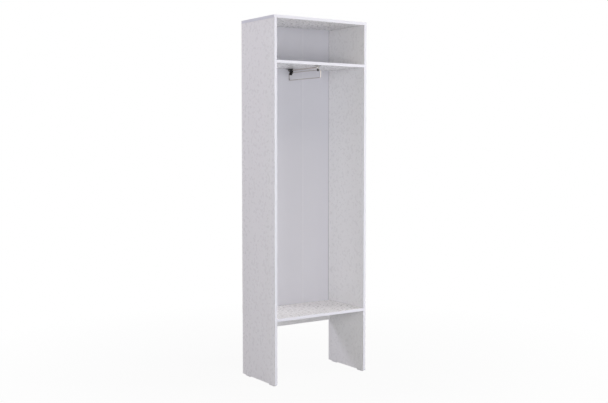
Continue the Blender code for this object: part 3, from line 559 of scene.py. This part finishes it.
def carried_out(obj):
    """The object's mesh in the frame, with its modifiers carried out. The object itself is removed."""
    bpy.context.view_layer.update()
    graph = bpy.context.evaluated_depsgraph_get()
    evaluated = obj.evaluated_get(graph)
    mesh = bpy.data.meshes.new_from_object(evaluated)
    mesh.transform(obj.matrix_world)
    bpy.data.objects.remove(obj)
    return mesh


def arc(centre, radius, start, end, steps):
    """Points on an arc round a centre, from one angle to another in degrees."""
    angles = [math.radians(start + (end - start) * step / steps) for step in range(steps + 1)]
    return [(centre[0] + radius * math.cos(a), centre[1] + radius * math.sin(a)) for a in angles]


def filleted(corners, steps=BEND_STEPS):
    """The points of an outline whose corners (x, y, radius) are rounded by arcs."""
    points = []
    for i, (x, y, radius) in enumerate(corners):
        corner = Vector((x, y))
        before = (Vector(corners[i - 1][:2]) - corner).normalized()
        after = (Vector(corners[(i + 1) % len(corners)][:2]) - corner).normalized()
        if not radius:
            points.append(corner)
            continue
        half = before.angle(after) / 2
        centre = corner + (before + after).normalized() * radius / math.sin(half)
        first = corner + before * radius / math.tan(half) - centre
        last = corner + after * radius / math.tan(half) - centre
        sweep = first.angle_signed(last)
        for step in range(steps + 1):
            points.append(centre + Matrix.Rotation(-sweep * step / steps, 2) @ first)
    return points


def prism(name, outline, low, high, to_point):
    """An outline pushed from low to high. to_point(u, v, w) gives the place of outline point (u, v) at w."""
    shape = bmesh.new()
    ends = [[shape.verts.new(to_point(u, v, w)) for u, v in outline] for w in (low, high)]
    shape.faces.new(ends[0])
    shape.faces.new(reversed(ends[1]))
    for i in range(len(outline)):
        j = (i + 1) % len(outline)
        shape.faces.new((ends[0][i], ends[1][i], ends[1][j], ends[0][j]))
    bmesh.ops.recalc_face_normals(shape, faces=shape.faces)
    mesh = bpy.data.meshes.new(name)
    shape.to_mesh(mesh)
    shape.free()
    return mesh


def rod(name, start, end, radius):
    """A round bar from one point to another."""
    start, end = Vector(start), Vector(end)
    turn = (end - start).to_track_quat("Z", "Y").to_matrix().to_4x4()
    shape = bmesh.new()
    bmesh.ops.create_cone(
        shape,
        cap_ends=True,
        segments=ROUND_SIDES,
        radius1=radius,
        radius2=radius,
        depth=(end - start).length,
        matrix=Matrix.Translation((start + end) / 2) @ turn,
    )
    mesh = bpy.data.meshes.new(name)
    shape.to_mesh(mesh)
    shape.free()
    return mesh


def combined(base, others, operation):
    """The first mesh cut by each of the others in turn, or kept only inside them."""
    body = loose("body", base)
    tools = [loose("tool", other) for other in others]
    for tool in tools:
        modifier = body.modifiers.new("combine", "BOOLEAN")
        modifier.operation = operation
        modifier.solver = "EXACT"
        modifier.object = tool
    mesh = carried_out(body)
    for tool in tools:
        bpy.data.objects.remove(tool)
    return mesh


def smooth(mesh):
    """The same mesh, shaded smooth but for its sharp edges."""
    mesh.shade_smooth()
    mesh.set_sharp_from_angle(angle=SMOOTH_ANGLE)
    return mesh


def rounded(mesh, width, segments=3):
    """The mesh with its edges rounded and its round faces shaded smooth."""
    obj = loose("rounded", mesh)
    weld = obj.modifiers.new("weld", "WELD")
    weld.merge_threshold = WELD
    soften(obj, width, segments).angle_limit = ROUNDED_ANGLE
    return smooth(carried_out(obj))


def turned_mesh(name, profile, place, direction, sides=ROUND_SIDES):
    """A profile of (radius, height) points turned round a line through place along direction."""
    shape = bmesh.new()
    turn = Vector(direction).to_track_quat("Z", "Y").to_matrix()
    rings = []
    for radius, height in profile:
        count = sides if radius > 0 else 1
        ring = []
        for step in range(count):
            angle = 2 * math.pi * step / sides
            point = Vector((radius * math.cos(angle), radius * math.sin(angle), height))
            ring.append(shape.verts.new(Vector(place) + turn @ point))
        rings.append(ring)
    for lower, upper in zip(rings, rings[1:] + rings[:1]):
        if len(lower) == 1 and len(upper) == 1:
            continue
        for step in range(sides):
            following = (step + 1) % sides
            corners = [lower[step % len(lower)], lower[following % len(lower)]]
            corners += [upper[following % len(upper)], upper[step % len(upper)]]
            shape.faces.new(list(dict.fromkeys(corners)))
    bmesh.ops.recalc_face_normals(shape, faces=shape.faces)
    mesh = bpy.data.meshes.new(name)
    shape.to_mesh(mesh)
    shape.free()
    return smooth(mesh)


# Hanger rail: brackets, bar, bush, block and wire loop, finer than the solids that they stand for


def bracket(name, has_bush):
    """A strip bent square: the flange lies under the shelf and the web hangs down from its front edge."""
    low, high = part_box(name)
    inner, outer = BEND_RADIUS, BEND_RADIUS + SHEET_METAL
    bend_centre = (low.y + outer, high.z - outer)
    side_view = [(high.y, high.z)]
    side_view += arc(bend_centre, outer, 90, 180, BEND_STEPS)
    side_view += [(low.y, low.z), (low.y + SHEET_METAL, low.z)]
    side_view += arc(bend_centre, inner, 180, 90, BEND_STEPS)
    side_view += [(high.y, high.z - SHEET_METAL)]
    strip = prism("strip", side_view, low.x, high.x, lambda u, v, w: (w, u, v))
    plan = [(x, y, FLANGE_CORNER) for x, y in ((low.x, low.y), (high.x, low.y), (high.x, high.y), (low.x, high.y))]
    plan_cut = prism("plan", filleted(plan), low.z - OVERRUN, high.z + OVERRUN, lambda u, v, w: (u, v, w))
    # The web's foot is a half circle, less a hair so that its two arcs don't end in the same point
    half, shoulder = WEB_WIDTH / 2, high.z - FLANGE_LIP
    front_view = filleted([
        (low.x - OVERRUN, high.z + OVERRUN, 0),
        (low.x - OVERRUN, shoulder, 0),
        (-half, shoulder, WEB_THROAT_RADIUS),
        (-half, low.z, half - WELD),
        (half, low.z, half - WELD),
        (half, shoulder, WEB_THROAT_RADIUS),
        (high.x + OVERRUN, shoulder, 0),
        (high.x + OVERRUN, high.z + OVERRUN, 0),
    ], WEB_STEPS)
    front_cut = prism("front", front_view, low.y - OVERRUN, high.y + OVERRUN, lambda u, v, w: (u, w, v))
    shape = combined(strip, [plan_cut, front_cut], "INTERSECT")
    bar_low, bar_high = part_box("rail_guide_bar")
    bar_z = (bar_low.z + bar_high.z) / 2
    near, far = low.y - OVERRUN, low.y + SHEET_METAL + OVERRUN
    holes = [rod("rivet hole", (0, near, bar_z), (0, far, bar_z), RIVET_HOLE_RADIUS)]
    if has_bush:
        bush_low, bush_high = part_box("rail_front_bush")
        bush_z = (bush_low.z + bush_high.z) / 2
        holes.append(rod("bush hole", (0, near, bush_z), (0, far, bush_z), BUSH_HOLE_RADIUS))
    row = name.split("_")[1]
    for side in ("left", "right"):
        screw_low, screw_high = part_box(f"bracket_screw_{row}_{side}")
        x, y = (screw_low.x + screw_high.x) / 2, (screw_low.y + screw_high.y) / 2
        foot, top = high.z - SHEET_METAL - OVERRUN, high.z + OVERRUN
        holes.append(rod("screw hole", (x, y, foot), (x, y, top), SCREW_HOLE_RADIUS))
    shape = rounded(combined(shape, holes, "DIFFERENCE"), METAL_ROUNDING, 2)
    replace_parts(piece(f"{name}_bent", shape, BRACKET_STEEL), name)


def guide_bar():
    """The bar's thin ends pass through both webs and are riveted over into flat heads, as dull as the webs."""
    low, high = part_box("rail_guide_bar")
    front_web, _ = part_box("rail_front_bracket")
    rear_web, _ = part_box("rail_rear_bracket")
    radius, z = (high.x - low.x) / 2, (low.z + high.z) / 2
    front = front_web.y + SHEET_METAL + PLAY
    rear = rear_web.y - PLAY
    front_head, rear_head = front_web.y - PLAY, rear_web.y + SHEET_METAL + PLAY
    crown = RIVET_HEAD_RADIUS - RIVET_HEAD_HEIGHT
    head = arc((crown, 0), RIVET_HEAD_HEIGHT, 0, 90, RIM_STEPS) + [(0, RIVET_HEAD_HEIGHT)]
    edge = METAL_ROUNDING
    profile = [(r, front_head - h) for r, h in reversed(head)]
    profile += [(RIVET_RADIUS, front_head), (RIVET_RADIUS, front), (radius - edge, front), (radius, front + edge)]
    profile += [(radius, rear - edge), (radius - edge, rear), (RIVET_RADIUS, rear), (RIVET_RADIUS, rear_head)]
    profile += [(r, rear_head + h) for r, h in head]
    shape = turned_mesh("guide bar", profile, (0, 0, z), (0, 1, 0))
    bar = piece("guide_bar_riveted", shape, CHROME)
    shape.materials.append(BRACKET_STEEL)
    for face in shape.polygons:
        if not front_head < face.center.y < rear_head:
            face.material_index = 1
    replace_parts(bar, "rail_guide_bar")


def bush():
    """A collar on each side of the web, joined through its hole, with softly rounded rims."""
    low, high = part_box("rail_front_bush")
    loop_low, loop_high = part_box("hanger_loop")
    radius, middle = (high.x - low.x) / 2, (low.y + high.y) / 2
    bore, half = (loop_high.x - loop_low.x) / 2 + PLAY, (high.y - low.y) / 2
    rim = BUSH_ROUNDING
    outer_rim = arc((half - rim, radius - rim), rim, 0, 90, RIM_STEPS)
    bore_rim = arc((half - rim / 2, bore + rim / 2), rim / 2, 270, 360, RIM_STEPS)
    side = [(r, along) for along, r in bore_rim + outer_rim]
    side += [(radius, half - BUSH_FLANGE), (BUSH_NECK_RADIUS, half - BUSH_FLANGE)]
    profile = side + [(r, -along) for r, along in reversed(side)]
    place = (0, middle, (low.z + high.z) / 2)
    shape = turned_mesh("bush", profile, place, (0, 1, 0))
    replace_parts(piece("wire_bush", shape, BLACK_PLASTIC), "rail_front_bush")


def slider_block():
    """The block that rides on the bar, with a rear half that hangs lower, and bores for bar and wire."""
    low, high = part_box("slider_block")
    bar_low, bar_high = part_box("rail_guide_bar")
    wire_low, wire_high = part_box("hanger_loop")
    middle, step_z = (low.y + high.y) / 2, low.z + BLOCK_STEP
    corners = [
        (low.y, high.z, BLOCK_CORNER),
        (low.y, step_z, BLOCK_CORNER),
        (middle, step_z, BLOCK_CORNER),
        (middle, low.z, BLOCK_CORNER),
        (high.y, low.z, BLOCK_CORNER),
        (high.y, high.z, BLOCK_CORNER),
    ]
    shape = rounded(prism("block", filleted(corners), low.x, high.x, lambda u, v, w: (w, u, v)), BLOCK_ROUNDING)
    near, far = low.y - OVERRUN, high.y + OVERRUN
    bar_radius, wire_radius = (bar_high.x - bar_low.x) / 2, (wire_high.x - wire_low.x) / 2
    bores = []
    for drop, radius in ((BLOCK_TOP_TO_BAR, bar_radius), (BLOCK_TOP_TO_WIRE, wire_radius)):
        z = high.z - drop
        bores.append(rod("bore", (0, near, z), (0, far, z), radius + PLAY))
    shape = smooth(combined(shape, bores, "DIFFERENCE"))
    block = piece("slider_block_moulded", shape, BLACK_PLASTIC, "pull_out_hanger")
    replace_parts(block, "slider_block")


def wire_loop():
    """Round wire bent into a closed rectangle, with its butt weld hidden in the slider block."""
    low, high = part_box("hanger_loop")
    radius = (high.x - low.x) / 2
    near, far, foot, top = low.y + radius, high.y - radius, low.z + radius, high.z - radius
    corners = [(y, z, LOOP_CORNER) for y, z in ((near, foot), (far, foot), (far, top), (near, top))]
    path = filleted(corners, LOOP_STEPS)
    curve = bpy.data.curves.new("hanger_wire", "CURVE")
    curve.dimensions = "3D"
    curve.bevel_depth = radius
    curve.bevel_resolution = WIRE_RESOLUTION
    spline = curve.splines.new("POLY")
    spline.points.add(len(path) - 1)
    for point, (y, z) in zip(spline.points, path):
        point.co = (0, y, z, 1)
    spline.use_cyclic_u = True
    mesh = carried_out(loose("hanger_wire", curve))
    mesh.shade_smooth()
    # A painted highlight brightens the wire's front end, and painted shade darkens its rear end
    ends = ((near, FRONT_PAINTED_HIGHLIGHT), (far, REAR_PAINTED_SHADE))
    chrome_with_painted_ends = metal("chrome_with_painted_ends", CHROME_COLOUR, CHROME_POLISH, ends)
    wire = piece("hanger_wire", mesh, chrome_with_painted_ends, "pull_out_hanger")
    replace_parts(wire, "hanger_loop")


for bracket_name, with_bush in (("rail_front_bracket", True), ("rail_rear_bracket", False)):
    bracket(bracket_name, with_bush)
guide_bar()
bush()
slider_block()
wire_loop()


# Nails in the rear of the back sheets


def nail_row(start, end):
    """Places from start to end, about a nail's pitch apart."""
    start, end = Vector(start), Vector(end)
    count = max(1, round((end - start).length / NAIL_PITCH))
    return [start + (end - start) * step / count for step in range(count + 1)]


def nails():
    """Flat-headed nails along the side panels, the top and both shelves, one piece for each sheet."""
    top_low, top_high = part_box("top_panel")
    hat_low, hat_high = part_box("hat_shelf")
    bench_low, bench_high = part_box("bench_shelf")
    boards = ((bench_low, bench_high), (hat_low, hat_high), (top_low, top_high))
    levels = [(low.z + high.z) / 2 for low, high in boards]
    profile = [
        (0, NAIL_HEAD_HEIGHT),
        (NAIL_HEAD_RADIUS - NAIL_RIM, NAIL_HEAD_HEIGHT),
        (NAIL_HEAD_RADIUS, NAIL_HEAD_HEIGHT - NAIL_RIM),
        (NAIL_HEAD_RADIUS, 0),
        (0, 0),
    ]
    for sheet in ("back_sheet_left", "back_sheet_middle", "back_sheet_right"):
        low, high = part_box(sheet)
        places = []
        for z in levels:
            places += nail_row((low.x + NAIL_END, high.y, z), (high.x - NAIL_END, high.y, z))
        if sheet != "back_sheet_middle":
            x = low.x + NAIL_EDGE if sheet == "back_sheet_left" else high.x - NAIL_EDGE
            for foot, top in zip(levels, levels[1:]):
                places += nail_row((x, high.y, foot + NAIL_END), (x, high.y, top - NAIL_END))
        shape = bmesh.new()
        for place in places:
            shape.from_mesh(turned_mesh("nail", profile, place, (0, 1, 0), NAIL_SIDES))
        mesh = bpy.data.meshes.new(f"{sheet}_nails")
        shape.to_mesh(mesh)
        shape.free()
        piece(f"{sheet}_nails", smooth(mesh), ZINC)


nails()


# Floor, world, lamps and camera


def seen_directly(tree):
    """1 for rays from the camera and for those that reflections and glass send on, 0 for the light itself."""
    path = add(tree, "ShaderNodeLightPath").outputs
    seen = calculate(tree, "ADD", path["Is Camera Ray"], path["Is Glossy Ray"])
    seen = calculate(tree, "ADD", seen, path["Is Transmission Ray"])
    return calculate(tree, "MINIMUM", seen, 1.0)


def floor():
    """A pale floor that keeps the wardrobe's shadow and otherwise reads as white."""
    mesh = bpy.data.meshes.new("floor")
    half = FLOOR_SIZE / 2
    corners = [(-half, -half, 0), (half, -half, 0), (half, half, 0), (-half, half, 0)]
    mesh.from_pydata(corners, [], [(0, 1, 2, 3)])
    obj = loose("floor", mesh)
    material, tree, shader = new_tree("pale_floor")
    shader.inputs["Base Color"].default_value = opaque(FLOOR_COLOUR)
    shader.inputs["Roughness"].default_value = FLOOR_ROUGHNESS
    shader.inputs["Specular IOR Level"].default_value = 0.0
    glow = add(tree, "ShaderNodeEmission", None, {"Color": opaque(WHITE), "Strength": 1.0})
    away = add(tree, "ShaderNodeVectorMath", {"operation": "LENGTH"}, {0: object_point(tree)}).outputs["Value"]
    share = between(tree, away, FLOOR_GLOW_NEAR, FLOOR_GLOW_FAR, FLOOR_GLOW_START, FLOOR_GLOW_END)
    share = calculate(tree, "MULTIPLY", share, seen_directly(tree))
    mix = add(tree, "ShaderNodeMixShader", None, {0: share, 1: shader.outputs["BSDF"], 2: glow.outputs["Emission"]})
    tree.links.new(mix.outputs["Shader"], tree.nodes["Material Output"].inputs["Surface"])
    mesh.materials.append(material)


def surroundings():
    """White where it is seen, and an even soft light on the wardrobe."""
    world = bpy.data.worlds.new("studio")
    world.use_nodes = True
    tree = world.node_tree
    light = tree.nodes["Background"]
    light.inputs["Color"].default_value = opaque(WHITE)
    light.inputs["Strength"].default_value = WORLD_STRENGTH
    white = add(tree, "ShaderNodeBackground", None, {"Color": opaque(WHITE), "Strength": 1.0})
    inputs = {0: seen_directly(tree), 1: light.outputs["Background"], 2: white.outputs["Background"]}
    mix = add(tree, "ShaderNodeMixShader", None, inputs)
    tree.links.new(mix.outputs["Shader"], tree.nodes["World Output"].inputs["Surface"])
    bpy.context.scene.world = world


def bare_metal():
    """A collection of every piece whose finish is bare metal."""
    group = bpy.data.collections.new("bare_metal")
    for obj in bpy.context.scene.objects:
        material = obj.active_material
        if material and material.node_tree.nodes["Principled BSDF"].inputs["Metallic"].default_value == 1:
            group.objects.link(obj)
    return group


def lamp(name, place, side, watts, colour):
    """A square softbox that looks at the wardrobe's middle, and that no surface mirrors."""
    data = bpy.data.lights.new(name, "AREA")
    data.size = side
    data.energy = watts
    data.color = colour
    obj = loose(name, data)
    obj.location = place
    obj.rotation_euler = (Vector(place) - Vector(LAMP_TARGET)).to_track_quat("Z", "Y").to_euler()
    obj.visible_camera = False
    obj.visible_glossy = False
    return obj


def metal_lamp():
    """A reflector that lights the bare metal alone, as its highlight."""
    obj = lamp(*METAL_LAMP)
    obj.visible_glossy = True
    obj.visible_diffuse = False
    obj.light_linking.receiver_collection = bare_metal()


def camera():
    data = bpy.data.cameras.new("camera")
    data.sensor_width = SENSOR
    data.lens = SENSOR * FOCAL_PIXELS / IMAGE_WIDTH
    data.shift_y = -SHIFT_PIXELS / IMAGE_WIDTH
    obj = loose("camera", data)
    obj.location = CAMERA_PLACE
    obj.rotation_euler = (math.pi / 2 - CAMERA_PITCH, 0, -CAMERA_YAW)
    bpy.context.scene.camera = obj


floor()
surroundings()
for settings in LAMPS:
    lamp(*settings)
metal_lamp()
camera()
bpy.context.scene.view_settings.view_transform = "Standard"
